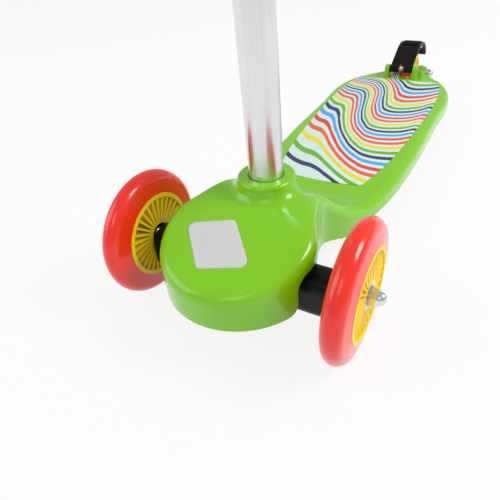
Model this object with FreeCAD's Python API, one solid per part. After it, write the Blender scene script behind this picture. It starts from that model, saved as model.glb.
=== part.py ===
import FreeCAD, Part
import math
import os

V = FreeCAD.Vector

# Kick scooter, millimetres. X is across, the nose faces -Y, +Z is up.
# The origin is on the ground, midway between the front of the nose and the back of the brake.

# overall sizes
overall_length = 680.0
handlebar_height = 620.0
handlebar_width = 290.0
front_wheel_diameter = 120.0
rear_wheel_diameter = 80.0
front_track = 203.0
deck_width = 172.0
deck_top_z = 48.0
deck_depth = 20.0

# moulding
wall = 3.0
nose_radius = 68.0
nose_bottom_drop = 16.0
nose_front_rise = 17.0
crown_rise = 43.0
neck_width = 100.0
top_edge_radius = 10.0
rib_thickness = 2.4
rib_pitch = 46.0

# collar and column
column_diameter = 30.0
column_wall = 1.5
column_offset = 51.4
collar_height = 13.0
collar_root = 4.0
collar_wall = 10.35
collar_taper = 0.033
collar_lip = 3.0
collar_sweep = 12.0
socket_wall = 4.0
socket_depth = 52.0
socket_clearance = 0.15
socket_ledge = 3.0
socket_bevel = 1.2

# steering
kingpin_tilt = 40.0
kingpin_radius = 4.0
kingpin_trail = 12.6
eye_radius = 16.0
eye_thickness = 18.0
sleeve_wall = 2.0
insert_radius = 6.5
insert_length = 8.0
bushing_length = 6.0
bushing_radius = 12.0
pivot_gap = 0.3
washer_thickness = 1.5
washer_radius = 8.0
spacer_radius = 6.0
beam_front = 15.0
beam_back = 16.0
beam_rise = 9.0
beam_drop = 32.0
beam_corner_radius = 12.0
beam_end_gap = 2.5
arch_clearance = 10.0
arch_flare = 9.0

# wheels
axle_radius = 4.0
tyre_height = 20.0
tyre_base_width = 22.0
tyre_crown_radius = 9.3
rear_tyre_height = 13.0
hub_width = 22.6
hub_rim = 4.0
hub_web = 4.0
hub_boss_radius = 14.0
hub_rib_count = 30
hub_rib_thickness = 1.9
bearing_radius = 11.0
bearing_width = 7.0
running_clearance = 0.05
end_play = 0.15
tongue_width = 8.0
tongue_height = 2.0
nut_width = 13.0
washer_seat_clearance = 1.5

# rear fork and brake
fork_slot_width = 31.0
fork_arm_width = 13.0
fork_boss_radius = 11.0
ear_clearance = 3.0
ear_thickness = 6.0
brake_gap = 5.0
brake_thickness = 3.0
brake_width = 34.0
brake_back_angle = 24.0
brake_front_angle = 118.0
brake_pin_radius = 2.5
brake_pin_lead = 11.0
brake_pin_height = 13.0
brake_pin_rise = 21.0
brake_spring_radius = 3.7
brake_spring_wire = 0.6
brake_spring_turns = 4

# grip mat and badge
mat_thickness = 1.5
mat_recess = 0.8
mat_border = 14.0
mat_corner_radius = 14.0
badge_width = 43.0
badge_depth = 50.0
badge_turn = 20.0
badge_skew = 112.0
badge_corner_radius = 5.0
badge_thickness = 0.6
badge_x = -9.0
badge_setback = -22.0

# handlebar
crossbar_diameter = 22.0
crossbar_wall = 1.5
grip_length = 92.0
grip_wall = 4.0
grip_flange = 5.0
grip_end = 4.0
connector_width = 84.0
connector_arm_wall = 4.5
connector_stem_wall = 4.0
connector_grip = 42.0
screw_radius = 2.5

# snap button
button_radius = 4.0
button_drop = 10.0
button_proud = 1.5
button_clearance = 0.1
button_travel = 5.0

# places worked out from the sizes above
half_length = overall_length / 2
nose_centre_y = -half_length + nose_radius
axle_y = nose_centre_y + 2.0
axle_z = front_wheel_diameter / 2
wheel_x = front_track / 2
column_y = axle_y + column_offset
nose_bottom_z = axle_z - nose_bottom_drop
nose_front_top_z = axle_z + nose_front_rise
crown_z = axle_z + crown_rise
beam_top_z = axle_z + beam_rise
beam_bottom_z = axle_z - beam_drop
column_radius = column_diameter / 2
collar_top_z = crown_z + collar_height
collar_top_radius = column_radius + socket_clearance + collar_wall
socket_floor_z = collar_top_z - socket_depth
button_z = collar_top_z - button_drop
button_reach = collar_top_radius + button_proud
connector_stem_radius = column_radius + connector_stem_wall
connector_arm_radius = crossbar_diameter / 2 + connector_arm_wall
grip_radius = crossbar_diameter / 2 + grip_wall
grip_flange_radius = grip_radius + grip_flange
rear_wheel_radius = rear_wheel_diameter / 2
rear_axle_z = rear_wheel_radius
brake_outer = rear_wheel_radius + brake_gap + brake_thickness
rear_axle_y = half_length - brake_outer * math.cos(math.radians(brake_back_angle))
deck_bottom_z = deck_top_z - deck_depth
mat_top_z = deck_top_z + mat_thickness - mat_recess
tilt = math.radians(kingpin_tilt)
pin_dir = V(0, -math.sin(tilt), math.cos(tilt))
pin_across = V(0, math.cos(tilt), math.sin(tilt))
pin_point = V(0, axle_y, axle_z) + pin_across * kingpin_trail
slot_front_y = rear_axle_y - rear_wheel_radius - 5.0
fork_end_y = rear_axle_y + 15.0
mat_front_y = axle_y + 164.0
mat_back_y = slot_front_y - 21.0
brake_pin_y = rear_axle_y - rear_wheel_radius - brake_pin_lead
brake_pin_z = max(deck_top_z + brake_pin_height, rear_axle_z + brake_pin_rise)
X_AXIS = V(1, 0, 0)
Y_AXIS = V(0, 1, 0)
Z_AXIS = V(0, 0, 1)


def cylinder(radius, length, base, axis=Z_AXIS):
    return Part.makeCylinder(radius, length, base, axis)


def ring(outer, inner, length, base, axis=Z_AXIS):
    return cylinder(outer, length, base, axis).cut(cylinder(inner, length, base, axis))


def box(x0, x1, y0, y1, z0, z1):
    return Part.makeBox(x1 - x0, y1 - y0, z1 - z0, V(x0, y0, z0))


def join(shapes):
    joined = shapes[0].multiFuse(shapes[1:]) if len(shapes) > 1 else shapes[0]
    return joined.removeSplitter()


def spline(points, start=None, end=None):
    curve = Part.BSplineCurve()
    if start is None:
        curve.interpolate(points)
    else:
        curve.interpolate(Points=points, InitialTangent=start, FinalTangent=end)
    return curve.toShape()


def line(a, b):
    return Part.makeLine(a, b)


def face(edges):
    return Part.Face(Part.Wire(Part.__sortEdges__(edges)))


def lathe(outline, centre, axis):
    """Turn an outline of (along, radius) points about an axis through a centre."""
    side = Z_AXIS if abs(axis.z) < 0.5 else X_AXIS
    points = [centre + axis * a + side * r for a, r in outline]
    wire = Part.makePolygon(points + [points[0]])
    return Part.Face(wire).revolve(centre, axis, 360)


def hexagon(across_flats, length, base, axis):
    radius = across_flats / math.sqrt(3)
    corners = [V(radius * math.cos(math.radians(60 * i)), radius * math.sin(math.radians(60 * i)), 0)
               for i in range(7)]
    prism = Part.Face(Part.makePolygon(corners)).extrude(V(0, 0, length))
    prism.Placement = FreeCAD.Placement(base, FreeCAD.Rotation(Z_AXIS, axis))
    return prism


def mirrored(shape):
    return shape.mirror(V(0, 0, 0), X_AXIS)


def both_sides(shape):
    return Part.Compound([shape, mirrored(shape)])


def pin_place(along):
    """A point on the kingpin's axis, measured up it from the middle of the beam's eye."""
    return pin_point + pin_dir * along


# deck moulding

def plan_face(inset):
    """Outline of the moulding seen from above, set in by a wall."""
    radius = nose_radius - inset
    centre = V(0, nose_centre_y, 0)
    nose_end = centre + V(radius, 0, 0)
    nose_front = centre + V(0, -radius, 0)
    half_neck = neck_width / 2
    half_deck = deck_width / 2
    half_tail = fork_slot_width / 2 + fork_arm_width
    stations = [
        (nose_radius - 9.0, axle_y + 24.0),
        (half_neck, axle_y + 50.0),
        (half_neck - 1.0, axle_y + 70.0),
        (half_neck + 9.0, axle_y + 97.0),
        (half_deck - 18.0, axle_y + 130.0),
        (half_deck - 8.0, axle_y + 177.0),
        (half_deck - 2.0, axle_y + 240.0),
        (half_deck, axle_y + 310.0),
        (half_deck, axle_y + 400.0),
        (half_deck - 2.0, slot_front_y - 49.0),
        (half_deck - 28.0, slot_front_y + 1.0),
        (half_tail + 5.0, rear_axle_y - 14.0),
        (half_tail, fork_end_y),
    ]
    side = [nose_end] + [V(x - inset, y, 0) for x, y in stations]
    side[-1] = V(half_tail - inset, fork_end_y - inset, 0)
    right = spline(side, Y_AXIS, Y_AXIS)
    mid = centre + V(radius * math.sin(math.pi / 4), -radius * math.cos(math.pi / 4), 0)
    right_nose = Part.Arc(nose_front, mid, nose_end).toShape()
    tail = side[-1]
    edges = [right_nose, right]
    edges += [mirrored(edge) for edge in edges]
    edges.append(line(tail, V(-tail.x, tail.y, 0)))
    return face(edges)


def top_points(drop):
    """Height of the top along the length: nose, crown round the collar, neck, then the flat deck."""
    return [
        V(0, -half_length - 10.0, nose_front_top_z - 3.0 - drop),
        V(0, -half_length + 20.0, nose_front_top_z + 4.0 - drop),
        V(0, axle_y - 10.0, nose_front_top_z + 15.5 - drop),
        V(0, axle_y + 25.0, crown_z - 1.5 - drop),
        V(0, column_y, crown_z - 2.0 - drop),
        V(0, column_y + 28.0, crown_z - 17.0 - drop),
        V(0, column_y + 56.0, deck_top_z + 14.0 - drop),
        V(0, column_y + 84.0, deck_top_z + 2.0 - drop),
        V(0, column_y + 108.0, deck_top_z - drop),
    ]


def side_face(drop, floor_drop):
    """Side view of the moulding between its top and its open bottom."""
    top = top_points(drop)
    back = half_length + 20.0
    start = top[1] - top[0]
    start.normalize()
    curve = spline(top, start, Y_AXIS)
    flat = line(top[-1], V(0, back, top[-1].z))
    nose_floor = nose_bottom_z - floor_drop
    deck_floor = deck_bottom_z - floor_drop
    floor = [
        V(0, back, top[-1].z),
        V(0, back, deck_floor),
        V(0, column_y + 55.0, deck_floor),
        V(0, column_y + 12.0, nose_floor),
        V(0, top[0].y, nose_floor),
        top[0],
    ]
    edges = [curve, flat] + [line(a, b) for a, b in zip(floor, floor[1:])]
    return face(edges)


def moulding_block(inset, drop, floor_drop):
    half = deck_width / 2 + 10.0
    plan = plan_face(inset).extrude(V(0, 0, 200))
    side = side_face(drop, floor_drop)
    side.translate(V(-half, 0, 0))
    return plan.common(side.extrude(V(2 * half, 0, 0)))


def top_edges(block, flat_z):
    """The edges where the sides meet the top, whose flat part is at flat_z."""
    chosen = []
    for edge in block.Edges:
        low = edge.BoundBox.ZMin
        flat_tail = edge.BoundBox.YMin > fork_end_y - 1.0
        if low > flat_z - 0.5 and not flat_tail:
            chosen.append(edge)
    return chosen


def with_collar(block):
    """Add the tapered collar to the moulding, swept into its top, with a rounded lip."""
    root = nose_bottom_z + collar_root
    height = collar_top_z - root
    foot_radius = collar_top_radius + collar_taper * height
    cone = Part.makeCone(foot_radius, collar_top_radius, height, V(0, column_y, root), Z_AXIS)
    body = block.fuse(cone)
    reach = collar_top_radius + collar_sweep
    foot = []
    lip = []
    for edge in body.Edges:
        size = edge.BoundBox
        near = abs(size.XMax) < reach and abs(size.XMin) < reach
        if near and size.YMin > column_y - reach and size.YMax < column_y + reach:
            if size.ZMin > collar_top_z - 0.1:
                lip.append(edge)
            elif size.ZMin > root + wall:
                foot.append(edge)
    return body.makeFillet(collar_sweep, foot).makeFillet(collar_lip, lip)


def column_socket():
    bore = column_radius + socket_clearance
    low = socket_floor_z - wall
    tube = cylinder(bore + socket_wall, crown_z - wall - low, V(0, column_y, low))
    return tube


def socket_bore():
    """Blind hole for the column, with a ledge at its floor and a bevel at its mouth."""
    bore = column_radius + socket_clearance
    hole = cylinder(bore, collar_top_z, V(0, column_y, socket_floor_z))
    drain = cylinder(bore - socket_ledge, 2 * wall, V(0, column_y, socket_floor_z - 1.5 * wall))
    mouth = Part.makeCone(bore, bore + socket_bevel, socket_bevel,
                          V(0, column_y, collar_top_z - socket_bevel), Z_AXIS)
    return hole.multiFuse([drain, mouth])


def ribs():
    """Lattice of plates under the deck, between the neck and the rear slot."""
    plates = []
    front = axle_y + 96.0
    back = slot_front_y - 4.0
    half = deck_width / 2
    low = deck_bottom_z + 1.5
    columns = int((back - front) // rib_pitch)
    for i in range(columns + 1):
        y = front + i * rib_pitch
        plates.append(box(-half, half, y, y + rib_thickness, low, deck_top_z))
    for x in (-52.0, -26.0, 0.0, 26.0, 52.0):
        edge = x - rib_thickness / 2
        plates.append(box(edge, edge + rib_thickness, front, back, low, deck_top_z))
    return plates


def beam_arch():
    """Opening across the nose that the beam swings in, with a rounded top."""
    front = axle_y - beam_front - arch_clearance
    back = axle_y + beam_back + arch_clearance
    half = nose_radius + 10.0
    top = beam_top_z + arch_clearance - 1.5
    flare = arch_flare
    rise = nose_bottom_z + flare
    bend = flare * (1 - math.sqrt(0.5))
    front_foot = V(-half, front - flare, nose_bottom_z)
    front_rise = V(-half, front, rise)
    back_rise = V(-half, back, rise)
    back_foot = V(-half, back + flare, nose_bottom_z)
    front_mid = V(-half, front - bend, nose_bottom_z + bend)
    back_mid = V(-half, back + bend, nose_bottom_z + bend)
    profile = face([
        line(V(-half, front - flare, 0), front_foot),
        Part.Arc(front_foot, front_mid, front_rise).toShape(),
        line(front_rise, V(-half, front, top)),
        line(V(-half, front, top), V(-half, back, top)),
        line(V(-half, back, top), back_rise),
        Part.Arc(back_rise, back_mid, back_foot).toShape(),
        line(back_foot, V(-half, back + flare, 0)),
        line(V(-half, back + flare, 0), V(-half, front - flare, 0)),
    ])
    opening = profile.extrude(V(2 * half, 0, 0))
    upper = [e for e in opening.Edges if e.BoundBox.ZMin > top - 0.1 and e.BoundBox.XLength > half]
    return opening.makeFillet(beam_corner_radius, upper)


def fork_slot():
    half = fork_slot_width / 2
    slot = box(-half, half, slot_front_y, half_length + 20.0, 0.0, 100.0)
    corners = [e for e in slot.Edges if e.BoundBox.YMax < slot_front_y + 0.1 and e.BoundBox.ZLength > 50]
    return slot.makeFillet(6.0, corners)


def brake_ears():
    ear = fork_slot_width / 2 + ear_clearance
    outer = ear + ear_thickness
    radius = brake_pin_radius + 3.5
    foot_reach = radius + 2.0
    knuckle = cylinder(radius, ear_thickness, V(ear, brake_pin_y, brake_pin_z), X_AXIS)
    foot = box(ear, outer, brake_pin_y - foot_reach, brake_pin_y + foot_reach, deck_top_z - 2.0, deck_top_z + 2.0)
    post = box(ear, outer, brake_pin_y - radius, brake_pin_y + radius, deck_top_z - 2.0, brake_pin_z)
    right = join([knuckle, foot, post])
    return [right, mirrored(right)]


def axle_bosses():
    """Thick pads in the fork arms that hold the rear axle bolt."""
    inner = fork_slot_width / 2
    pad = cylinder(fork_boss_radius, fork_arm_width, V(inner, rear_axle_y, rear_axle_z), X_AXIS)
    arm = box(inner, inner + fork_arm_width, rear_axle_y - 40.0, fork_end_y - 4.0,
              deck_bottom_z, deck_top_z - 1.0)
    return [pad, arm, mirrored(pad), mirrored(arm)]


def deck_moulding():
    block = moulding_block(0.0, 0.0, 0.0)
    outer = with_collar(block.makeFillet(top_edge_radius, top_edges(block, deck_top_z)))
    cavity = moulding_block(wall, wall, 30.0)
    cavity = cavity.makeFillet(top_edge_radius - wall, top_edges(cavity, deck_top_z - wall))
    shell = outer.cut(cavity)
    inner_plates = [plate.common(cavity) for plate in ribs()]
    pad_start = eye_thickness / 2 + pivot_gap + bushing_length
    pad = cylinder(bushing_radius, 30.0, pin_place(pad_start), pin_dir).common(outer)
    body = shell.multiFuse(inner_plates + [column_socket(), pad] + brake_ears())
    body = body.cut(beam_arch())
    body = body.cut(fork_slot())
    body = body.multiFuse(axle_bosses())
    body = body.cut(socket_bore())
    body = body.cut(cylinder(insert_radius, insert_length, pin_place(pad_start), pin_dir))
    axle_hole = cylinder(axle_radius, deck_width, V(-deck_width / 2, rear_axle_y, rear_axle_z), X_AXIS)
    pin_hole = cylinder(brake_pin_radius, deck_width, V(-deck_width / 2, brake_pin_y, brake_pin_z), X_AXIS)
    button_hole = cylinder(button_radius + button_clearance, 2 * collar_top_radius,
                           V(0, column_y, button_z), Y_AXIS)
    arm_face = V(fork_slot_width / 2 + fork_arm_width, rear_axle_y, rear_axle_z)
    seat = cylinder(washer_radius + washer_seat_clearance, 10.0, arm_face, X_AXIS)
    for hole in (axle_hole, seat, mirrored(seat), pin_hole, button_hole, mat_solid(0.0), badge_solid()):
        body = body.cut(hole)
    return body.removeSplitter()


# grip mat and badge

def mat_solid(gap):
    """The mat narrows to the front with the deck and has a curved front edge."""
    half = deck_width / 2 - mat_border - gap
    front = mat_front_y + gap
    back = mat_back_y - gap
    stations = [
        (half * 0.70, front + 6.0),
        (half * 0.80, front + 40.0),
        (half * 0.93, front + 110.0),
        (half, front + 190.0),
        (half, back - 50.0),
        (half - 13.0, back),
    ]
    points = [V(x, y, 0) for x, y in stations]
    right = spline(points, V(0.2, 1, 0), V(-0.6, 1, 0))
    nose = Part.Arc(points[0], V(0, front, 0), V(-points[0].x, points[0].y, 0)).toShape()
    tail = line(points[-1], V(-points[-1].x, points[-1].y, 0))
    outline = face([right, mirrored(right), nose, tail])
    outline.translate(V(0, 0, deck_top_z - mat_recess))
    sheet = outline.extrude(V(0, 0, mat_thickness))
    corners = [e for e in sheet.Edges if e.BoundBox.ZLength > mat_thickness / 2 and e.BoundBox.XLength < 0.01]
    return sheet.makeFillet(mat_corner_radius / 2, corners)


def badge_place():
    """Where the badge sits on the nose, sloped with its top."""
    middle_y = axle_y + badge_setback
    points = top_points(0.0)
    start = points[1] - points[0]
    start.normalize()
    top = spline(points, start, Y_AXIS)
    probe = line(V(0, middle_y, 0), V(0, middle_y, 200))
    at = top.distToShape(probe)[1][0][0]
    slope = top.Curve.tangent(top.Curve.parameter(at))[0]
    angle = math.degrees(math.atan2(slope.z, slope.y))
    return FreeCAD.Placement(at + X_AXIS * badge_x, FreeCAD.Rotation(X_AXIS, angle))


def badge_solid():
    turn = math.radians(badge_turn)
    lean = math.radians(badge_turn + badge_skew)
    across = V(math.cos(turn), math.sin(turn), 0) * (badge_width / 2)
    along = V(math.cos(lean), math.sin(lean), 0) * (badge_depth / 2)
    corners = [across + along, along - across, across * -1 - along, across - along]
    plate = Part.Face(Part.makePolygon(corners + [corners[0]])).extrude(V(0, 0, badge_thickness))
    upright = [e for e in plate.Edges if e.BoundBox.ZLength > badge_thickness / 2 and e.Length < 1.0]
    plate = plate.makeFillet(badge_corner_radius, upright)
    plate.Placement = badge_place()
    plate.translate(V(0, 0, -badge_thickness / 2))
    return plate


# steering

def sleeve_radius():
    return kingpin_radius + running_clearance + sleeve_wall


def truck_beam():
    end = wheel_x - hub_width / 2 - beam_end_gap
    front = axle_y - beam_front
    back = axle_y + beam_back
    bar = box(-end, end, front, back, beam_bottom_z, beam_top_z)
    long_edges = [e for e in bar.Edges if e.BoundBox.XLength > end]
    bar = bar.makeFillet(beam_corner_radius, long_edges)
    half_eye = eye_thickness / 2
    keep = bushing_radius + 12.0
    above = cylinder(keep, 60.0, pin_place(half_eye), pin_dir)
    below = cylinder(keep, 60.0, pin_place(-half_eye), pin_dir * -1)
    eye = cylinder(eye_radius, eye_thickness, pin_place(-half_eye), pin_dir)
    floor = V(0, axle_y, axle_z) - pin_across * (beam_front + 4.0) - pin_dir * half_eye
    web = Part.makeBox(2 * keep, beam_front + 4.0 + kingpin_trail, eye_thickness)
    web.Placement = FreeCAD.Placement(floor - X_AXIS * keep, FreeCAD.Rotation(X_AXIS, kingpin_tilt))
    middle = bar.cut(above).cut(below)
    web = web.common(bar)
    beam = middle.multiFuse([eye, web])
    for side in (1, -1):
        pocket = box(30.0, end - 12.0, axle_y + 7.5, back + 1.0, beam_bottom_z + 6.0, beam_top_z - 6.0)
        beam = beam.cut(pocket if side > 0 else mirrored(pocket))
    beam = beam.cut(cylinder(sleeve_radius(), 100.0, pin_place(-50.0), pin_dir))
    beam = beam.cut(cylinder(axle_radius, 2 * end + 2.0, V(-end - 1.0, axle_y, axle_z), X_AXIS))
    return beam.removeSplitter()


def pivot_parts():
    half_eye = eye_thickness / 2
    hole = kingpin_radius + running_clearance
    upper = half_eye + pivot_gap
    pad = upper + bushing_length
    lower = -half_eye - pivot_gap - bushing_length
    washer = lower - washer_thickness
    head = washer - 6.0
    shank = cylinder(kingpin_radius, pad + insert_length - head, pin_place(head), pin_dir)
    bolt_head = hexagon(nut_width, 6.0, pin_place(head), pin_dir)
    socket = hexagon(6.0, 3.5, pin_place(head), pin_dir)
    dish = lathe([(0, kingpin_radius), (1.0, bushing_radius - 1.0), (bushing_length - 1.0, bushing_radius),
                  (bushing_length, bushing_radius - 1.0), (bushing_length, kingpin_radius)],
                 pin_place(upper), pin_dir)
    return {
        "kingpin": join([shank, bolt_head]).cut(socket),
        "kingpin_insert": ring(insert_radius, kingpin_radius, insert_length, pin_place(pad), pin_dir),
        "kingpin_washer": ring(bushing_radius - 0.5, kingpin_radius, washer_thickness, pin_place(washer), pin_dir),
        "kingpin_sleeve": ring(sleeve_radius(), hole, eye_thickness, pin_place(-half_eye), pin_dir),
        "upper_bushing": dish,
        "lower_bushing": ring(bushing_radius - 1.5, kingpin_radius, bushing_length, pin_place(lower), pin_dir),
    }


def dome_nut(base, axis):
    nut = hexagon(nut_width, 6.0, base, axis)
    dome = Part.makeSphere(5.6, base + axis * 6.0, axis, 0, 90, 360)
    return nut.fuse(dome).cut(cylinder(axle_radius, 8.0, base, axis)).removeSplitter()


def front_axle_parts():
    face_x = wheel_x + bearing_span() / 2 + end_play
    nut_x = face_x + washer_thickness
    beam_end = wheel_x - hub_width / 2 - beam_end_gap
    centre = V(0, axle_y, axle_z)
    rod = cylinder(axle_radius, 2 * (nut_x + 8.0), centre - X_AXIS * (nut_x + 8.0), X_AXIS)
    washer = ring(washer_radius, axle_radius, washer_thickness, centre + X_AXIS * face_x, X_AXIS)
    nut = dome_nut(centre + X_AXIS * nut_x, X_AXIS)
    inner = wheel_x - bearing_span() / 2 - end_play
    spacer = ring(spacer_radius, axle_radius, inner - beam_end, centre + X_AXIS * beam_end, X_AXIS)
    return {
        "front_axle": rod,
        "front_axle_washers": both_sides(washer),
        "front_axle_nuts": both_sides(nut),
        "front_axle_spacers": both_sides(spacer),
    }


# wheels

def bearing_span():
    """Outer face to outer face of a wheel's two bearings."""
    return hub_width - 0.6


def tyre(radius, height, centre):
    half_base = tyre_base_width / 2
    seat = radius - height
    crown = min(tyre_crown_radius, height - 3.0)
    crown_z = radius - crown
    top = V(0, 0, radius)
    right = V(crown, 0, crown_z)
    left = V(-crown, 0, crown_z)
    half_tongue = tongue_width / 2
    edges = [
        Part.Arc(left, top, right).toShape(),
        line(right, V(half_base, 0, seat)),
        line(V(half_base, 0, seat), V(half_tongue, 0, seat)),
        line(V(half_tongue, 0, seat), V(half_tongue, 0, seat + tongue_height)),
        line(V(half_tongue, 0, seat + tongue_height), V(-half_tongue, 0, seat + tongue_height)),
        line(V(-half_tongue, 0, seat + tongue_height), V(-half_tongue, 0, seat)),
        line(V(-half_tongue, 0, seat), V(-half_base, 0, seat)),
        line(V(-half_base, 0, seat), left),
    ]
    section = face(edges)
    section.translate(centre)
    return section.revolve(centre, X_AXIS, 360)


def hub(radius, height, centre):
    seat = radius - height
    half = hub_width / 2
    half_web = hub_web / 2
    half_tongue = tongue_width / 2
    inner = seat - hub_rim
    outline = [
        (-half, inner), (-half, seat), (-half_tongue, seat), (-half_tongue, seat + tongue_height),
        (half_tongue, seat + tongue_height), (half_tongue, seat), (half, seat), (half, inner),
        (half_web, inner - 1.0), (half_web, hub_boss_radius), (half - 0.6, hub_boss_radius - 0.8),
        (half - 0.6, bearing_radius), (-half + 0.6, bearing_radius), (-half + 0.6, hub_boss_radius - 0.8),
        (-half_web, hub_boss_radius), (-half_web, inner - 1.0),
    ]
    body = lathe(outline, centre, X_AXIS)
    start = hub_boss_radius - 0.5
    count = hub_rib_count if height > 15.0 else hub_rib_count * 2 // 3
    blade = box(-half + 0.8, half - 0.8, -hub_rib_thickness / 2, hub_rib_thickness / 2, start, inner + 0.5)
    blades = []
    for i in range(count):
        rib = blade.copy()
        rib.rotate(V(0, 0, 0), X_AXIS, 360.0 * i / count)
        rib.translate(centre)
        blades.append(rib)
    stop = ring(bearing_radius, bearing_radius - 2.0, bearing_span() - 2 * bearing_width - 0.1,
                centre - X_AXIS * (bearing_span() / 2 - bearing_width - 0.05), X_AXIS)
    return body.multiFuse(blades + [stop]).removeSplitter()


def bearing(base):
    """Shielded ball bearing, with a groove between its rings on both faces."""
    inner = axle_radius + running_clearance
    outline = [
        (0, inner), (0, inner + 2.2), (0.6, inner + 2.2), (0.6, bearing_radius - 1.9), (0, bearing_radius - 1.9),
        (0, bearing_radius), (bearing_width, bearing_radius), (bearing_width, bearing_radius - 1.9),
        (bearing_width - 0.6, bearing_radius - 1.9), (bearing_width - 0.6, inner + 2.2),
        (bearing_width, inner + 2.2), (bearing_width, inner),
    ]
    return lathe(outline, base, X_AXIS)


def wheel(name, radius, height, centre):
    half = bearing_span() / 2
    pair = [bearing(centre - X_AXIS * half), bearing(centre + X_AXIS * (half - bearing_width))]
    length = 2 * (half - bearing_width)
    spacer = ring(spacer_radius, axle_radius + running_clearance, length, centre - X_AXIS * (length / 2), X_AXIS)
    return {
        name + "_tyre": tyre(radius, height, centre),
        name + "_hub": hub(radius, height, centre),
        name + "_bearings": Part.Compound(pair),
        name + "_bearing_spacer": spacer,
    }


def rear_axle_parts():
    arm_out = fork_slot_width / 2 + fork_arm_width
    centre = V(0, rear_axle_y, rear_axle_z)
    washer = ring(washer_radius, axle_radius, washer_thickness, centre + X_AXIS * arm_out, X_AXIS)
    seat = arm_out + washer_thickness
    shank = cylinder(axle_radius, 2 * seat + 8.0, centre - X_AXIS * seat, X_AXIS)
    head = hexagon(nut_width, 5.5, centre - X_AXIS * (seat + 5.5), X_AXIS)
    inner = bearing_span() / 2 + end_play
    spacer = ring(spacer_radius, axle_radius, fork_slot_width / 2 - inner, centre + X_AXIS * inner, X_AXIS)
    return {
        "rear_axle_bolt": join([shank, head]),
        "rear_axle_washers": both_sides(washer),
        "rear_axle_nut": dome_nut(centre + X_AXIS * seat, X_AXIS),
        "rear_axle_spacers": both_sides(spacer),
    }


# rear brake

def brake_arc(inner, outer, width, from_angle, to_angle):
    """Part of a drum round the rear wheel, between two angles up from the back."""
    centre = V(0, rear_axle_y, rear_axle_z)
    drum = ring(outer, inner, width, centre - X_AXIS * (width / 2), X_AXIS)
    reach = 2 * outer
    corners = [centre - X_AXIS * width]
    for i in range(7):
        angle = math.radians(from_angle + (to_angle - from_angle) * i / 6)
        corners.append(corners[0] + V(0, reach * math.cos(angle), reach * math.sin(angle)))
    wedge = Part.Face(Part.makePolygon(corners + [corners[0]])).extrude(V(2 * width, 0, 0))
    return drum.common(wedge)


def brake_fender():
    inner = brake_outer - brake_thickness
    shell = brake_arc(inner, brake_outer, brake_width, brake_back_angle, brake_front_angle)
    barrel_half = fork_slot_width / 2 + ear_clearance - 0.3
    pin_centre = V(0, brake_pin_y, brake_pin_z)
    barrel = cylinder(brake_pin_radius + 3.0, 2 * barrel_half, pin_centre - X_AXIS * barrel_half, X_AXIS)
    angle = math.radians(brake_front_angle)
    top = V(0, rear_axle_y + brake_outer * math.cos(angle), rear_axle_z + brake_outer * math.sin(angle))
    under = V(0, rear_axle_y + inner * math.cos(angle), rear_axle_z + inner * math.sin(angle))
    along = top - pin_centre
    lift = V(0, -along.z, along.y)
    lift.normalize()
    corners = [pin_centre + lift * 5.0, top, under, pin_centre + lift * 1.5]
    half = brake_width / 2
    plate = Part.Face(Part.makePolygon(corners + [corners[0]])).extrude(V(2 * half, 0, 0))
    plate.translate(V(-half, 0, 0))
    treads = []
    for degrees in range(52, 101, 8):
        treads.append(brake_arc(brake_outer - 0.5, brake_outer + 1.2, brake_width - 8.0, degrees, degrees + 3))
    body = shell.multiFuse([barrel, plate] + treads)
    body = body.cut(cylinder(brake_pin_radius + running_clearance, 100.0, pin_centre - X_AXIS * 50, X_AXIS))
    coil_half = brake_spring_wire * (brake_spring_turns + 3.0)
    coil_radius = brake_spring_radius + brake_spring_wire + 2.4
    body = body.cut(cylinder(coil_radius, 2 * coil_half, pin_centre - X_AXIS * coil_half, X_AXIS))
    return body.cut(brake_wear_plate()).removeSplitter()


def brake_wear_plate():
    """Steel plate let into the inside of the fender, where it rubs on the tyre."""
    inner = brake_outer - brake_thickness
    return brake_arc(inner - 0.2, inner + 1.0, brake_width - 10.0, 45.0, 95.0)


def brake_parts():
    half = fork_slot_width / 2 + ear_clearance + ear_thickness
    pin = cylinder(brake_pin_radius, 2 * half, V(-half, brake_pin_y, brake_pin_z), X_AXIS)
    cap = cylinder(brake_pin_radius + 1.5, 1.2, V(half, brake_pin_y, brake_pin_z), X_AXIS)
    return {
        "brake_fender": brake_fender(),
        "brake_wear_plate": brake_wear_plate(),
        "brake_pin": join([pin, cap, mirrored(cap)]),
        "brake_spring": brake_spring(),
    }


def brake_spring():
    """Torsion spring round the pin, with one leg on the deck and one under the fender."""
    pitch = 2 * brake_spring_wire + 0.05
    length = pitch * brake_spring_turns
    pin_centre = V(-length / 2, brake_pin_y, brake_pin_z)
    steps = brake_spring_turns * 12
    path = []
    for i in range(steps + 1):
        angle = math.radians(30.0 * i)
        across = brake_spring_radius * math.cos(angle)
        path.append(V(across, brake_spring_radius * math.sin(angle), length * i / steps))
    section = Part.Wire(Part.makeCircle(brake_spring_wire, path[0], path[1] - path[0]))
    coil = Part.Wire(spline(path)).makePipeShell([section], True, True)
    coil.rotate(V(0, 0, 0), Y_AXIS, 90)
    coil.translate(pin_centre)
    leg_drop = brake_pin_z - deck_top_z - brake_spring_wire
    front_start = pin_centre + V(0, 0, -brake_spring_radius)
    leg_reach = 12.0
    leg_fall = leg_drop - brake_spring_radius
    front_leg = cylinder(brake_spring_wire, math.hypot(leg_reach, leg_fall), front_start,
                         V(0, -leg_reach, -leg_fall))
    back_start = pin_centre + V(length, brake_spring_radius * 0.5, -brake_spring_radius * 0.866)
    back_leg = cylinder(brake_spring_wire, 16.0, back_start, V(0, 0.866, 0.5))
    return join([coil, front_leg, back_leg])


# column and handlebar

def bar_height():
    return handlebar_height - grip_flange_radius


def column_top():
    return bar_height() - crossbar_diameter / 2 - 1.5


def screw_height():
    return column_top() - 14.0


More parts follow.
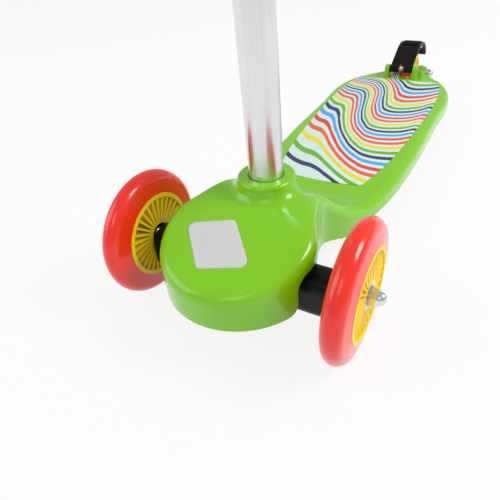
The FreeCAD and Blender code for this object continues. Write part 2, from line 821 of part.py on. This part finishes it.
def column_tube():
    length = column_top() - socket_floor_z
    tube = ring(column_radius, column_radius - column_wall, length, V(0, column_y, socket_floor_z))
    button_hole = cylinder(button_radius + button_clearance, 40.0, V(0, column_y, button_z), Y_AXIS)
    screw_hole = cylinder(screw_radius, 40.0, V(0, column_y, screw_height()), Y_AXIS)
    return tube.cut(button_hole).cut(screw_hole)


def button_flange_end():
    """How far back the button's flange reaches before it meets the tube's inside."""
    inside = column_radius - column_wall
    return math.sqrt(inside ** 2 - (button_radius + 2.0) ** 2) - 0.3


def snap_button():
    start = button_flange_end() - 1.0
    stem = cylinder(button_radius, button_reach - start, V(0, column_y + start, button_z), Y_AXIS)
    tip = [e for e in stem.Edges if e.BoundBox.YMin > column_y + button_reach - 0.1]
    stem = stem.makeFillet(1.2, tip)
    flange = cylinder(button_radius + 2.0, 2.0, V(0, column_y + start - 1.0, button_z), Y_AXIS)
    return join([stem, flange])


def button_spring():
    """Strip bent back on itself inside the column, behind the button."""
    back = button_flange_end() - 2.0
    front = button_travel + 0.6 - (column_radius - column_wall)
    low = button_z - 30.0
    thickness = 0.8
    bend = (back - front) / 2
    half = 3.5
    leaf_back = box(-half, half, back - thickness, back, low, button_z + 7.0)
    leaf_front = box(-half, half, front, front + thickness, low, button_z + 7.0)
    curve = ring(bend, bend - thickness, 2 * half, V(-half, (back + front) / 2, low), X_AXIS)
    curve = curve.common(box(-half, half, front, back, low - 2 * bend, low))
    strip = join([leaf_back, leaf_front, curve])
    strip.translate(V(0, column_y, 0))
    return strip


def grip(side):
    """Soft grip with a flange towards the middle, finger waves and a closed end."""
    outer_x = handlebar_width / 2
    inner_x = outer_x - grip_length
    bar_radius = crossbar_diameter / 2
    outline = [(inner_x, bar_radius), (inner_x, grip_flange_radius - 1.5), (inner_x + 1.5, grip_flange_radius),
               (inner_x + 3.5, grip_flange_radius), (inner_x + 5.0, grip_flange_radius - 1.5),
               (inner_x + 7.0, grip_radius)]
    waves = 12
    start = inner_x + 10.0
    step = (outer_x - 8.0 - start) / waves
    for i in range(waves):
        x = start + i * step
        outline += [(x, grip_radius), (x + step * 0.35, grip_radius - 1.2), (x + step * 0.65, grip_radius - 1.2)]
    outline += [(outer_x - 8.0, grip_radius + 1.5), (outer_x - 2.0, grip_radius + 1.5), (outer_x, grip_radius - 1.0),
                (outer_x, 0), (outer_x - grip_end, 0), (outer_x - grip_end, bar_radius)]
    shape = lathe(outline, V(0, column_y, bar_height()), X_AXIS)
    return shape if side > 0 else mirrored(shape)


def t_connector():
    bar_z = bar_height()
    bar_radius = crossbar_diameter / 2
    half = connector_width / 2
    centre = V(0, column_y, bar_z)
    stem_bottom = column_top() - connector_grip
    arm = cylinder(connector_arm_radius, connector_width, centre - X_AXIS * half, X_AXIS)
    stem = cylinder(connector_stem_radius, bar_z - stem_bottom, V(0, column_y, stem_bottom))
    arm = arm.makeChamfer(1.5, [e for e in arm.Edges if e.BoundBox.XLength < 0.01])
    stem = stem.makeChamfer(1.5, [e for e in stem.Edges if e.BoundBox.ZLength < 0.01])
    body = arm.fuse(stem)
    body = body.cut(cylinder(bar_radius, connector_width + 2.0, centre - X_AXIS * (half + 1.0), X_AXIS))
    body = body.cut(cylinder(column_radius, column_top() - stem_bottom + 1.0, V(0, column_y, stem_bottom - 1.0)))
    return body.cut(cylinder(screw_radius, 60.0, V(0, column_y, screw_height()), Y_AXIS))


def handlebar_parts():
    bar_radius = crossbar_diameter / 2
    bar_half = handlebar_width / 2 - grip_end
    centre = V(0, column_y, bar_height())
    inside = column_radius - column_wall - 3.0
    screw_seat = V(0, column_y + connector_stem_radius, screw_height())
    shank = cylinder(screw_radius, connector_stem_radius - inside, V(0, column_y + inside, screw_height()), Y_AXIS)
    head = cylinder(screw_radius + 2.0, 2.6, screw_seat - Y_AXIS * 0.4, Y_AXIS)
    socket = hexagon(3.0, 2.0, screw_seat + Y_AXIS * 0.8, Y_AXIS)
    return {
        "crossbar": ring(bar_radius, bar_radius - crossbar_wall, 2 * bar_half, centre - X_AXIS * bar_half, X_AXIS),
        "t_connector": t_connector().cut(head),
        "connector_screw": join([shank, head]).cut(socket),
        "left_grip": grip(1),
        "right_grip": grip(-1),
    }


def all_parts():
    front = front_wheel_diameter / 2
    parts = {
        "deck_moulding": deck_moulding(),
        "grip_mat": mat_solid(0.0),
        "badge": badge_solid(),
        "truck_beam": truck_beam(),
        "column_tube": column_tube(),
        "snap_button": snap_button(),
        "button_spring": button_spring(),
    }
    parts.update(pivot_parts())
    parts.update(front_axle_parts())
    parts.update(wheel("left_wheel", front, tyre_height, V(wheel_x, axle_y, axle_z)))
    parts.update(wheel("right_wheel", front, tyre_height, V(-wheel_x, axle_y, axle_z)))
    parts.update(wheel("rear_wheel", rear_wheel_radius, rear_tyre_height, V(0, rear_axle_y, rear_axle_z)))
    parts.update(rear_axle_parts())
    parts.update(brake_parts())
    parts.update(handlebar_parts())
    return parts


os.makedirs("parts", exist_ok=True)
for name, shape in all_parts().items():
    if not shape.isValid():
        print("not valid:", name)
    shape.exportStep("parts/" + name + ".step")
    size = shape.BoundBox
    print(name, len(shape.Solids), round(size.XLength, 1), round(size.YLength, 1), round(size.ZLength, 1))
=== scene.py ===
import math

import bmesh
import bpy
from mathutils import Matrix, Vector
from mathutils.bvhtree import BVHTree


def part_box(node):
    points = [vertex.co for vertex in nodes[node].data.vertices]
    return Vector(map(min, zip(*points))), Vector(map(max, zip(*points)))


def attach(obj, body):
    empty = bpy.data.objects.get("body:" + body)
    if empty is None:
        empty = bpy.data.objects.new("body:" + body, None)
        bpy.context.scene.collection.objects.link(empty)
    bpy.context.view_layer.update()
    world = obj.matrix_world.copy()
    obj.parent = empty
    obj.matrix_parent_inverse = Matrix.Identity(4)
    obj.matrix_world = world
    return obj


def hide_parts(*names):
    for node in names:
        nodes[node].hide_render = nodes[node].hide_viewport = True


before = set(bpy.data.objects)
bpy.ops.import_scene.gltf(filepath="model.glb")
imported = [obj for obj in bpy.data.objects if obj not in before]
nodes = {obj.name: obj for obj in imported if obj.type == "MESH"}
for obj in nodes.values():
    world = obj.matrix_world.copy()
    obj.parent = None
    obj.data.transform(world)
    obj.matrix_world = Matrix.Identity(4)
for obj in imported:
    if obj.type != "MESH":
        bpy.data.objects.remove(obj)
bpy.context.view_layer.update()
print("frame loaded:", len(nodes), "nodes")


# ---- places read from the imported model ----
tyreLow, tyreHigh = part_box("left_wheel_tyre")
wheelCentre = (tyreLow + tyreHigh) / 2


# ---- shader wiring ----
class Wire:
    # a socket's value, so that maths on it reads as an expression
    def __init__(self, paint, socket):
        self.paint = paint
        self.socket = socket

    def maths(self, operation, *others):
        return self.paint.node("ShaderNodeMath", {"operation": operation}, [self, *others])

    def __add__(self, other):
        return self.maths("ADD", other)

    def __sub__(self, other):
        return self.maths("SUBTRACT", other)

    def __rsub__(self, other):
        return self.paint.node("ShaderNodeMath", {"operation": "SUBTRACT"}, [other, self])

    def __mul__(self, other):
        return self.maths("MULTIPLY", other)

    def __truediv__(self, other):
        return self.maths("DIVIDE", other)

    def __gt__(self, other):
        return self.maths("GREATER_THAN", other)


class Paint:
    # one material and the nodes that feed its shader
    def __init__(self, name, **constants):
        self.material = bpy.data.materials.new(name)
        self.material.use_nodes = True
        self.tree = self.material.node_tree
        self.shader = self.tree.nodes["Principled BSDF"]
        for socket, value in constants.items():
            self.shader.inputs[socket.replace("_", " ")].default_value = value

    def node(self, kind, settings=None, inputs=(), output=0):
        made = self.tree.nodes.new(kind)
        for key, value in (settings or {}).items():
            if key == "stops":
                self.setStops(made.color_ramp, value)
            elif key == "curve":
                self.setCurve(made.mapping, value)
            else:
                setattr(made, key, value)
        pairs = inputs.items() if isinstance(inputs, dict) else enumerate(inputs)
        for key, value in pairs:
            if isinstance(value, Wire):
                self.tree.links.new(value.socket, made.inputs[key])
            else:
                made.inputs[key].default_value = value
        return Wire(self, made.outputs[output])

    def setStops(self, ramp, stops):
        while len(ramp.elements) < len(stops):
            ramp.elements.new(0.5)
        for element, (position, colour) in zip(ramp.elements, stops):
            element.position = position
            element.color = colour

    def setCurve(self, mapping, points):
        curve = mapping.curves[0]
        while len(curve.points) < len(points):
            curve.points.new(0.5, 0.5)
        for point, (x, y) in zip(curve.points, points):
            point.location = (x, y)
        mapping.update()

    def place(self):
        return self.node("ShaderNodeTexCoord", output="Object")

    def axes(self):
        # X, Y and Z of the place on the surface
        split = self.node("ShaderNodeSeparateXYZ", {}, [self.place()]).socket.node
        return [Wire(self, socket) for socket in split.outputs]

    def noise(self, scale, detail=2.0, roughness=0.5, vector=None):
        return self.node("ShaderNodeTexNoise", {}, {"Vector": vector or self.place(), "Scale": scale,
                                                    "Detail": detail, "Roughness": roughness}, "Fac")

    def mixColour(self, amount, first, second, blend="MIX"):
        return self.node("ShaderNodeMix", {"data_type": "RGBA", "blend_type": blend},
                         {0: amount, 6: first, 7: second}, 2)

    def remap(self, value, low, high, newLow, newHigh):
        return self.node("ShaderNodeMapRange", {}, [value, low, high, newLow, newHigh])

    def bump(self, height, strength, distance):
        normal = self.node("ShaderNodeBump", {}, {"Height": height, "Strength": strength,
                                                  "Distance": distance})
        self.feed("Normal", normal)

    def feed(self, socket, wire):
        self.tree.links.new(wire.socket, self.shader.inputs[socket])


def srgb(red, green, blue):
    # colours are written as 0-255 screen values and handed to the shader as linear light
    def linear(channel):
        share = channel / 255
        return share / 12.92 if share <= 0.04045 else ((share + 0.055) / 1.055) ** 2.4
    return (linear(red), linear(green), linear(blue), 1.0)


# ---- finishes ----
# plastics and rubbers mottle their colour with a slow noise and their roughness with a finer one
def mouldedPlastic(name, colour, darker, roughness, coat, grain=900.0, grainDepth=0.00004, shine=0.5):
    # glossy moulding: faint flow mottling, soft scuffs in the gloss and an even fine grain;
    # grain is the noise's scale, grainDepth its height in metres and shine the specular level
    paint = Paint(name, Specular_IOR_Level=shine, Coat_Roughness=0.06, IOR=1.49)
    cloud = paint.noise(14.0, 3.0)
    paint.feed("Base Color", paint.mixColour(paint.remap(cloud, 0.35, 0.7, 0.0, 0.35), colour, darker))
    scuff = paint.noise(55.0, 6.0, 0.7)
    paint.feed("Roughness", paint.remap(scuff, 0.3, 0.8, roughness, roughness + 0.12))
    paint.shader.inputs["Coat Weight"].default_value = coat
    paint.bump(paint.noise(grain, 1.0), 0.15, grainDepth)
    return paint.material


greenPlastic = mouldedPlastic("greenPlastic", srgb(131, 208, 6), srgb(119, 196, 3), 0.15, 0.28)
yellowPlastic = mouldedPlastic("yellowPlastic", srgb(255, 222, 24), srgb(255, 214, 16), 0.34, 0.1)
blackNylon = mouldedPlastic("blackNylon", srgb(11, 8, 6), srgb(7, 5, 4), 0.3, 0.0, 500.0, 0.0001, 0.22)


def tyreRubber():
    # cast polyurethane: wet-looking red, softly mottled, with patches where the gloss is rubbed
    paint = Paint("tyreRed", Specular_IOR_Level=0.5, Coat_Roughness=0.05, IOR=1.5)
    cloud = paint.noise(22.0, 4.0)
    colour = paint.mixColour(paint.remap(cloud, 0.35, 0.7, 0.0, 0.6), srgb(252, 40, 18), srgb(242, 32, 14))
    paint.feed("Base Color", colour)
    scuff = paint.noise(90.0, 5.0, 0.65)
    paint.feed("Roughness", paint.remap(scuff, 0.35, 0.75, 0.18, 0.3))
    paint.shader.inputs["Coat Weight"].default_value = 0.45
    paint.bump(paint.noise(420.0, 2.0), 0.08, 0.00005)
    return paint.material


def turnedMetal(name, colour, roughness, stretch, lineDepth=0.0001, lineShade=0.86):
    # fine lines along the grain: stretch is the noise's scale along X, Y and Z
    paint = Paint(name, Metallic=1.0)
    stretched = paint.node("ShaderNodeMapping", {}, {"Vector": paint.place(), "Scale": stretch})
    lines = paint.noise(1.0, 4.0, 0.6, stretched)
    shaded = tuple(channel * lineShade for channel in colour[:3]) + (1.0,)
    paint.feed("Base Color", paint.mixColour(paint.remap(lines, 0.3, 0.7, 0.0, 0.4), colour, shaded))
    paint.feed("Roughness", paint.remap(lines, 0.3, 0.7, roughness, roughness + 0.1))
    paint.bump(lines, 0.05, lineDepth)
    return paint.material


satinAluminium = turnedMetal("satinAluminium", srgb(230, 230, 232), 0.22, (240.0, 240.0, 4.0), 0.00001)
zincSteel = turnedMetal("zincSteel", srgb(196, 198, 202), 0.28, (300.0, 300.0, 300.0))
polishedSteel = turnedMetal("polishedSteel", srgb(226, 228, 232), 0.1, (120.0, 120.0, 120.0))
brassMetal = turnedMetal("brassMetal", srgb(205, 168, 88), 0.3, (400.0, 400.0, 400.0))


def softRubber(name, colour, darker, roughness):
    # dull, finely pitted rubber
    paint = Paint(name, Specular_IOR_Level=0.4)
    cloud = paint.noise(30.0, 4.0)
    paint.feed("Base Color", paint.mixColour(paint.remap(cloud, 0.35, 0.7, 0.0, 1.0), colour, darker))
    paint.feed("Roughness", paint.remap(paint.noise(120.0, 3.0), 0.3, 0.7, roughness, roughness + 0.15))
    paint.bump(paint.noise(1400.0, 1.0), 0.25, 0.0001)
    return paint.material


gripRubber = softRubber("gripRubber", srgb(222, 46, 36), srgb(208, 38, 30), 0.5)
bushingRubber = softRubber("bushingRubber", srgb(38, 38, 40), srgb(28, 28, 30), 0.55)


matPattern = {
    # how many stripes have gone by, at places along the deck: down the low line and down the ridge
    "valley": [(-0.12, -1.7), (-0.06, 0.5), (0.0, 2.2), (0.06, 4.4), (0.12, 7.5), (0.18, 12.5), (0.24, 21.2)],
    "ridge": [(-0.12, 0.2), (-0.06, 4.1), (0.0, 8.65), (0.06, 14.0), (0.12, 19.15), (0.18, 22.9),
              (0.24, 26.3)],
    # how far the slope between the two lines is moved across, along the deck
    "lean": [(-0.12, -0.036), (-0.06, -0.016), (0.0, 0.001), (0.06, 0.009), (0.12, 0.0065), (0.18, 0.001),
             (0.24, 0.0005)],
    # the share of the ridge across the deck
    "slope": [(-0.075, -0.15), (-0.055, 0.0), (-0.038, 0.05), (-0.022, 0.24), (-0.006, 0.54), (0.01, 0.83),
              (0.026, 1.0), (0.05, 0.99), (0.075, 0.83)],
    # half a stripe's width, as a share of its room: on the low line at the front, and on the ridge
    "halfWidths": (0.17, 0.27),
    "softEdge": 0.02,
    "weaveScale": 2600.0,  # radians in a metre
    "weaveOnGround": 0.22,
    "weaveOnStripe": 0.06,
    "ground": srgb(222, 243, 236),
    "groundShade": srgb(178, 214, 204),
    "stripes": [srgb(42, 46, 100), srgb(108, 182, 24), srgb(240, 226, 20), srgb(244, 96, 44),
                srgb(234, 56, 60), srgb(80, 166, 246)],
}


def printedMat():
    # wavy stripes in six colours on a pale woven ground, crowded together where the pattern rises
    paint = Paint("printedMat", Roughness=0.5, Specular_IOR_Level=0.35)
    x, y, _ = paint.axes()
    colours = matPattern["stripes"]
    count = float(len(colours))

    def curve(points, place):
        start, end = points[0][0], points[-1][0]
        low = min(value for at, value in points)
        high = max(value for at, value in points)
        marks = [((at - start) / (end - start), (value - low) / (high - low)) for at, value in points]
        share = paint.node("ShaderNodeFloatCurve", {"curve": marks},
                           {"Value": paint.remap(place, start, end, 0.0, 1.0)})
        return share * (high - low) + low

    slope = curve(matPattern["slope"], x + curve(matPattern["lean"], y))
    number = curve(matPattern["valley"], y) * (1.0 - slope) + curve(matPattern["ridge"], y) * slope
    # whole rounds of colours are added so that the number stays above zero
    lifted = number + 2 * count
    turn = lifted.maths("MODULO", count) / count
    stops = [(i / count, colour) for i, colour in enumerate(colours)]
    ramp = paint.node("ShaderNodeValToRGB", {"stops": stops}, {"Fac": (turn + 0.5 / count).maths("FRACT")})
    ramp.socket.node.color_ramp.interpolation = "CONSTANT"
    offCentre = (number + (2 * count + 0.5)).maths("FRACT") - 0.5
    half = paint.remap(slope * count + number, 0.0, count, *matPattern["halfWidths"])
    edge = matPattern["softEdge"]
    pastEdge = offCentre.maths("ABSOLUTE") - half
    inStripe = paint.remap(pastEdge, -edge, edge, 1.0, 0.0) * (number > -0.5)
    threads = matPattern["weaveScale"]
    weave = (x * threads).maths("SINE") * (y * threads).maths("SINE") * 0.5 + 0.5
    ground = paint.mixColour(weave * matPattern["weaveOnGround"], matPattern["ground"],
                             matPattern["groundShade"])
    printed = paint.mixColour(weave * matPattern["weaveOnStripe"], ramp, matPattern["ground"])
    paint.feed("Base Color", paint.mixColour(inStripe, ground, printed))
    paint.bump(weave, 0.3, 0.0002)
    return paint.material


def badgeFilm():
    # the badge keeps its place in one plain pale colour
    paint = Paint("badgeFilm", Specular_IOR_Level=0.5)
    cloud = paint.noise(40.0, 3.0)
    paint.feed("Base Color", paint.mixColour(paint.remap(cloud, 0.3, 0.7, 0.0, 0.3), srgb(214, 216, 214),
                                             srgb(204, 206, 205)))
    paint.feed("Roughness", paint.remap(paint.noise(160.0, 3.0), 0.3, 0.7, 0.25, 0.38))
    return paint.material


finishOf = {
    "deck_moulding": greenPlastic, "t_connector": greenPlastic, "grip_mat": printedMat(),
    "badge": badgeFilm(),
    "truck_beam": blackNylon, "brake_fender": blackNylon, "column_tube": satinAluminium,
    "crossbar": satinAluminium, "snap_button": polishedSteel, "button_spring": zincSteel,
    "kingpin": zincSteel, "kingpin_insert": brassMetal, "kingpin_washer": zincSteel,
    "kingpin_sleeve": zincSteel, "upper_bushing": bushingRubber, "lower_bushing": bushingRubber,
    "front_axle": zincSteel, "front_axle_washers": zincSteel, "front_axle_nuts": polishedSteel,
    "front_axle_spacers": zincSteel, "rear_axle_bolt": zincSteel, "rear_axle_washers": zincSteel,
    "rear_axle_nut": polishedSteel, "rear_axle_spacers": zincSteel, "brake_wear_plate": zincSteel,
    "brake_pin": zincSteel, "brake_spring": zincSteel, "connector_screw": zincSteel,
    "left_grip": gripRubber, "right_grip": gripRubber,
}
tyreRed = tyreRubber()
for wheel in ("left_wheel", "right_wheel", "rear_wheel"):
    finishOf[wheel + "_tyre"] = tyreRed
    finishOf[wheel + "_hub"] = yellowPlastic
    finishOf[wheel + "_bearings"] = polishedSteel
    finishOf[wheel + "_bearing_spacer"] = zincSteel

for name, node in nodes.items():
    node.data.materials.clear()
    node.data.materials.append(finishOf[name])
print("finishes: every node painted")


# ---- new pieces ----
def addPiece(name, shape, body, material):
    for face in shape.faces:
        face.smooth = True
    mesh = bpy.data.meshes.new(name)
    shape.to_mesh(mesh)
    shape.free()
    mesh.materials.append(material)
    piece = bpy.data.objects.new(name, mesh)
    bpy.context.scene.collection.objects.link(piece)
    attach(piece, body)
    return piece


# ---- badge: a thin film that follows the nose ----
film = {
    "centre": (-0.009, -0.292),
    "width": 0.043,
    "depth": 0.050,
    "turn": math.radians(20.0),
    "skew": math.radians(112.0),
    "corner": 0.0055,
    "cornerSteps": 8,
    "spacing": 0.003,  # between points along the edge
    "rings": 14,  # of points between the middle and the edge
    "lift": 0.00012,  # above what it lies on
    "thickness": 0.0005,
    "smoothing": 4,  # rounds
    "sink": 0.0001,  # the most a point may go down in one round
}


def surfaceOf(node):
    shape = bmesh.new()
    shape.from_mesh(nodes[node].data)
    surface = BVHTree.FromBMesh(shape)
    shape.free()
    return surface


def filmCorner(corner, last, following):
    # the arc that rounds one sharp corner, from the side that comes in to the side that goes out
    toLast = (last - corner).normalized()
    toNext = (following - corner).normalized()
    halfAngle = toLast.angle(toNext) / 2
    middle = corner + (toLast + toNext).normalized() * (film["corner"] / math.sin(halfAngle))
    reach = film["corner"] / math.tan(halfAngle)
    start = corner + toLast * reach - middle
    sweep = start.angle_signed(corner + toNext * reach - middle)
    arc = []
    for step in range(film["cornerSteps"] + 1):
        turn = -sweep * step / film["cornerSteps"]
        cosine, sine = math.cos(turn), math.sin(turn)
        turned = Vector((start.x * cosine - start.y * sine, start.x * sine + start.y * cosine))
        arc.append(middle + turned)
    return arc


def filmOutline():
    # the film's edge about its centre, counter-clockwise
    across = Vector((math.cos(film["turn"]), math.sin(film["turn"]))) * (film["width"] / 2)
    lean = film["turn"] + film["skew"]
    along = Vector((math.cos(lean), math.sin(lean))) * (film["depth"] / 2)
    sharp = [across * -1 - along, across - along, across + along, along - across]
    outline = []
    for i, corner in enumerate(sharp):
        outline += filmCorner(corner, sharp[i - 1], sharp[(i + 1) % len(sharp)])
    finer = []
    for i, point in enumerate(outline):
        following = outline[(i + 1) % len(outline)]
        parts = max(1, round((following - point).length / film["spacing"]))
        finer += [point.lerp(following, k / parts) for k in range(parts)]
    return finer


def filmShape():
    hosts = [surfaceOf("deck_moulding"), surfaceOf("badge")]
    outline = filmOutline()
    shape = bmesh.new()

    def dropped(point):
        # onto the higher of the moulding and the badge's plate
        heights = []
        for host in hosts:
            hit = host.ray_cast(Vector((point.x, point.y, 1.0)), Vector((0.0, 0.0, -1.0)))[0]
            if hit:
                heights.append(hit.z)
        return max(heights) + film["lift"]

    centre = Vector(film["centre"])
    rows = []
    for ring in range(1, film["rings"] + 1):
        share = ring / film["rings"]
        flat = [centre + point * share for point in outline]
        rows.append([shape.verts.new((p.x, p.y, dropped(p))) for p in flat])
    middle = shape.verts.new((centre.x, centre.y, dropped(centre)))
    count = len(outline)
    for i in range(count):
        following = (i + 1) % count
        shape.faces.new((middle, rows[0][i], rows[0][following]))
        for inner, outer in zip(rows, rows[1:]):
            shape.faces.new((inner[i], outer[i], outer[following], inner[following]))
    # the height is evened out where it steps from the moulding to the plate
    for _ in range(film["smoothing"]):
        levels = {}
        for vert in shape.verts:
            if not vert.is_boundary:
                around = [edge.other_vert(vert).co.z for edge in vert.link_edges]
                levels[vert] = sum(around) / len(around)
        for vert, level in levels.items():
            vert.co.z = max(vert.co.z - film["sink"], level)
    rim = [edge for edge in shape.edges if edge.is_boundary]
    skirt = bmesh.ops.extrude_edge_only(shape, edges=rim)["geom"]
    lowered = [item for item in skirt if isinstance(item, bmesh.types.BMVert)]
    bmesh.ops.translate(shape, verts=lowered, vec=(0.0, 0.0, -film["thickness"]))
    bmesh.ops.recalc_face_normals(shape, faces=shape.faces)
    return shape


filmPiece = addPiece("badge_film", filmShape(), "deck", finishOf["badge"])
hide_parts("badge")
print("badge film laid over the nose")


# ---- hub webs: a disc makes the pockets between the ribs shallow on each front hub's outer side ----
web = {
    "inset": 0.0030,  # in from the hub's face
    "thickness": 0.0016,
    "inner": 0.0134,  # this edge and the outer one end a little way inside the hub's boss and rim
    "outer": 0.0364,
    "steps": 120,
    "sharp": 0.8,  # radians; the edges of the disc that turn more than this are drawn sharp
}


def addWeb(wheelName, outward):
    low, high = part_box(wheelName + "_hub")
    middle = (low + high) / 2
    face = middle.x + outward * ((high.x - low.x) / 2 - web["inset"])
    back = face - outward * web["thickness"]
    profile = [(face, web["inner"]), (face, web["outer"]), (back, web["outer"]), (back, web["inner"])]
    shape = bmesh.new()
    corners = [shape.verts.new((x, middle.y, middle.z + radius)) for x, radius in profile]
    edges = [shape.edges.new((corners[i - 1], corners[i])) for i in range(len(corners))]
    bmesh.ops.spin(shape, geom=corners + edges, cent=middle, axis=(1.0, 0.0, 0.0), angle=2 * math.pi,
                   steps=web["steps"], use_merge=True)
    bmesh.ops.recalc_face_normals(shape, faces=shape.faces)
    for edge in shape.edges:
        edge.smooth = edge.calc_face_angle(0.0) <= web["sharp"]
    return addPiece(wheelName + "_web", shape, wheelName, yellowPlastic)


addWeb("left_wheel", 1)
addWeb("right_wheel", -1)
print("hub webs added")


# ---- floor, lamps and world ----
def seenDirectly(paint):
    # 1 for the rays that show the surroundings themselves, 0 for the light they throw on the object
    rays = paint.node("ShaderNodeLightPath").socket.node
    first = Wire(paint, rays.outputs["Is Camera Ray"])
    for name in ("Is Glossy Ray", "Is Transmission Ray"):
        first = first.maths("MAXIMUM", Wire(paint, rays.outputs[name]))
    return first


def whiteForCamera(name, shade, white):
    # plain pale surface that shows as white behind the object and still takes its shadow
    paint = Paint(name, Roughness=0.9, Specular_IOR_Level=0.0)
    paint.shader.inputs["Base Color"].default_value = (shade, shade, shade, 1.0)
    glow = paint.node("ShaderNodeEmission", {}, {"Color": (1.0, 1.0, 1.0, 1.0), "Strength": 1.0})
    mixed = paint.node("ShaderNodeMixShader", {}, [seenDirectly(paint) * white])
    paint.tree.links.new(paint.shader.outputs[0], mixed.socket.node.inputs[1])
    paint.tree.links.new(glow.socket, mixed.socket.node.inputs[2])
    paint.tree.links.new(mixed.socket, paint.tree.nodes["Material Output"].inputs["Surface"])
    return paint.material


stage = {
    "floorSize": 40.0,
    "floorShade": 0.9,  # what the floor throws back as a surface
    "floorWhite": 0.86,  # the share of plain white in the floor that the camera sees
    "skyLight": 0.5,  # the world's strength as a light
    "skySeen": 1.0,  # and as the camera sees it
}

floorMesh = bpy.data.meshes.new("floor")
floorShape = bmesh.new()
bmesh.ops.create_grid(floorShape, x_segments=1, y_segments=1, size=stage["floorSize"] / 2)
floorShape.to_mesh(floorMesh)
floorShape.free()
floor = bpy.data.objects.new("floor", floorMesh)
bpy.context.scene.collection.objects.link(floor)
floorMesh.materials.append(whiteForCamera("floorPale", stage["floorShade"], stage["floorWhite"]))

world = bpy.data.worlds.new("studio")
world.use_nodes = True
skyTree = world.node_tree
skyTree.nodes["Background"].inputs["Color"].default_value = (1.0, 1.0, 1.0, 1.0)
skyRays = skyTree.nodes.new("ShaderNodeLightPath")
skyLevel = skyTree.nodes.new("ShaderNodeMapRange")
skyLevel.inputs["To Min"].default_value = stage["skyLight"]
skyLevel.inputs["To Max"].default_value = stage["skySeen"]
skyTree.links.new(skyRays.outputs["Is Camera Ray"], skyLevel.inputs["Value"])
skyTree.links.new(skyLevel.outputs["Result"], skyTree.nodes["Background"].inputs["Strength"])
bpy.context.scene.world = world

lampTarget = Vector((0.0, -0.1, 0.1))
lamps = {
    "keyLamp": {"at": (1.4, 0.4, 1.5), "size": 0.8, "power": 23.0},
    "fillLamp": {"at": (-1.5, -1.1, 1.0), "size": 1.3, "power": 9.5},
    "frontLamp": {"at": (0.2, -1.7, 1.5), "size": 0.8, "power": 3.0},
}
for name, lamp in lamps.items():
    light = bpy.data.lights.new(name, "AREA")
    light.shape = "SQUARE"
    light.size = lamp["size"]
    light.energy = lamp["power"]
    holder = bpy.data.objects.new(name, light)
    aim = lampTarget - Vector(lamp["at"])
    holder.rotation_euler = aim.to_track_quat("-Z", "Y").to_euler()
    holder.location = lamp["at"]
    bpy.context.scene.collection.objects.link(holder)
print("stage: floor, lamps and world")


# ---- camera ----
view = {
    "turn": 33.07,  # degrees to the object's left of straight ahead
    "height": 38.62,  # degrees above level
    "roll": -6.16,
    "distance": 0.4015,
    "aim": (0.0005, 0.012, 0.0),  # from the middle of the front axle
    "lens": 32.616,  # millimetres, on the sensor's width
    "sensor": 36.0,
    "nearest": 0.01,
}


def addCamera():
    turn = math.radians(view["turn"])
    height = math.radians(view["height"])
    roll = math.radians(view["roll"])
    look = Vector((-math.sin(turn) * math.cos(height), math.cos(turn) * math.cos(height), -math.sin(height)))
    right = Vector((math.cos(turn), math.sin(turn), 0.0))
    up = right.cross(look)
    rolledRight = math.cos(roll) * right + math.sin(roll) * up
    rolledUp = math.cos(roll) * up - math.sin(roll) * right
    axle = Vector((0.0, wheelCentre.y, wheelCentre.z))
    place = axle + Vector(view["aim"]) - look * view["distance"]
    lens = bpy.data.cameras.new("camera")
    lens.sensor_width = view["sensor"]
    lens.lens = view["lens"]
    lens.clip_start = view["nearest"]
    camera = bpy.data.objects.new("camera", lens)
    turned = Matrix((rolledRight, rolledUp, -look)).transposed().to_4x4()
    camera.matrix_world = Matrix.Translation(place) @ turned
    bpy.context.scene.collection.objects.link(camera)
    bpy.context.scene.camera = camera


addCamera()
bpy.context.scene.view_settings.view_transform = "Standard"
print("camera set")
